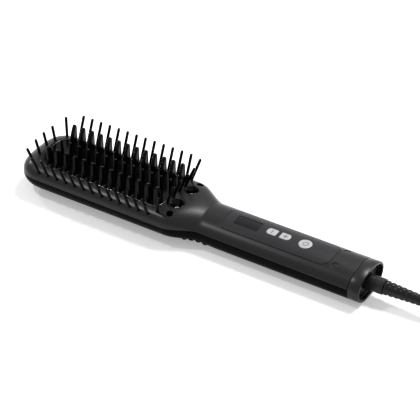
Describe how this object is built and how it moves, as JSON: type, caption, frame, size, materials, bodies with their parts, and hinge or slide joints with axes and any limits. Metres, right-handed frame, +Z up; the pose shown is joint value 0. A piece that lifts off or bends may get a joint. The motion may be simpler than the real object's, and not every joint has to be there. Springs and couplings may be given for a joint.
{
  "type": "steam hair straightener brush",
  "caption": "Steam hair straightener brush on its back, comb teeth up, charcoal handle with display and buttons, swivel mains cord coiled beside it.",
  "frame": {"origin": "on the resting plane, under the middle of the body's length and width, the cord left out", "axes": "+X from the tip of the head to the cord end, +Z up out of the comb, +Y to the side that makes the frame right-handed"},
  "size_m": [0.4895, 0.1024, 0.0445],
  "materials": {
    "housing_plastic": "satin",
    "black_plastic": "satin",
    "gloss_black": "gloss",
    "bright_trim": "polished",
    "panel_plastic": "satin",
    "display_glass": "gloss",
    "button_plastic": "satin",
    "steel": "brushed",
    "aluminium": "cast",
    "brass": "polished",
    "insulation": "woven",
    "soft_tube": "translucent",
    "tank_plastic": "translucent",
    "board": "solder mask",
    "sleeve_plastic": "satin",
    "cord_rubber": "gloss"
  },
  "bodies": {
    "body": {"top_housing": "housing_plastic", "bottom_housing": "black_plastic", "comb_rim": "bright_trim", "comb_plate": "gloss_black", "comb_blades": "gloss_black", "comb_teeth": "gloss_black", "outer_pins": "black_plastic", "pin_frame": "black_plastic", "heating_elements": "steel", "insulating_sheet": "insulation", "heater_clamp": "steel", "clamp_screws": "steel", "thermistor": "insulation", "thermal_fuse": "steel", "steam_chamber": "aluminium", "steam_nozzles": "black_plastic", "steam_tube": "soft_tube", "pump_body": "tank_plastic", "pump_spring": "steel", "water_tank": "tank_plastic", "tank_lid": "tank_plastic", "water_tube": "soft_tube", "control_panel": "panel_plastic", "display_window": "display_glass", "display_module": "display_glass", "push_switches": "black_plastic", "control_board": "board", "board_parts": "black_plastic", "board_screws": "steel", "housing_screws": "steel", "screw_plugs": "black_plastic", "end_cap": "housing_plastic", "end_plate": "black_plastic", "swivel_housing": "black_plastic", "contact_springs": "brass", "supply_wires": "cord_rubber", "heater_wires": "cord_rubber", "cord_lead": "cord_rubber", "cord_coil": "cord_rubber", "cord_tail": "cord_rubber", "cord_tie": "black_plastic", "plug_boot": "cord_rubber", "plug_body": "cord_rubber", "plug_pins": "brass"},
    "minus_key": {"minus_button": "button_plastic"},
    "plus_key": {"plus_button": "button_plastic"},
    "power_key": {"power_button": "button_plastic"},
    "trigger": {"steam_trigger": "black_plastic", "pump_plunger": "steel"},
    "filler": {"filler_plug": "black_plastic"},
    "swivel": {"swivel_core": "button_plastic", "slip_rings": "brass", "swivel_sleeve": "sleeve_plastic", "strain_relief": "cord_rubber"}
  },
  "joints": [
    {"name": "minus_press", "type": "slide", "parent": "body", "child": "minus_key", "axis": [0, 0, -1], "range_m": [0, 0.0005], "stiffness_N_per_m": 1200, "springref_m": -0.0008},
    {"name": "plus_press", "type": "slide", "parent": "body", "child": "plus_key", "axis": [0, 0, -1], "range_m": [0, 0.0005], "stiffness_N_per_m": 1200, "springref_m": -0.0008},
    {"name": "power_press", "type": "slide", "parent": "body", "child": "power_key", "axis": [0, 0, -1], "range_m": [0, 0.0005], "stiffness_N_per_m": 1200, "springref_m": -0.0008},
    {"name": "steam_press", "type": "slide", "parent": "body", "child": "trigger", "axis": [0, 0, 1], "range_m": [0, 0.002], "stiffness_N_per_m": 900, "springref_m": -0.003, "deforming": ["pump_spring"]},
    {"name": "filler_pull", "type": "slide", "parent": "body", "child": "filler", "axis": [0, 0, -1], "range_m": [0, 0.008]},
    {"name": "cord_swivel", "type": "hinge", "parent": "body", "child": "swivel", "pos_m": [0.14, 0, 0.0122], "axis": [1, 0, 0], "continuous": true}
  ]
}
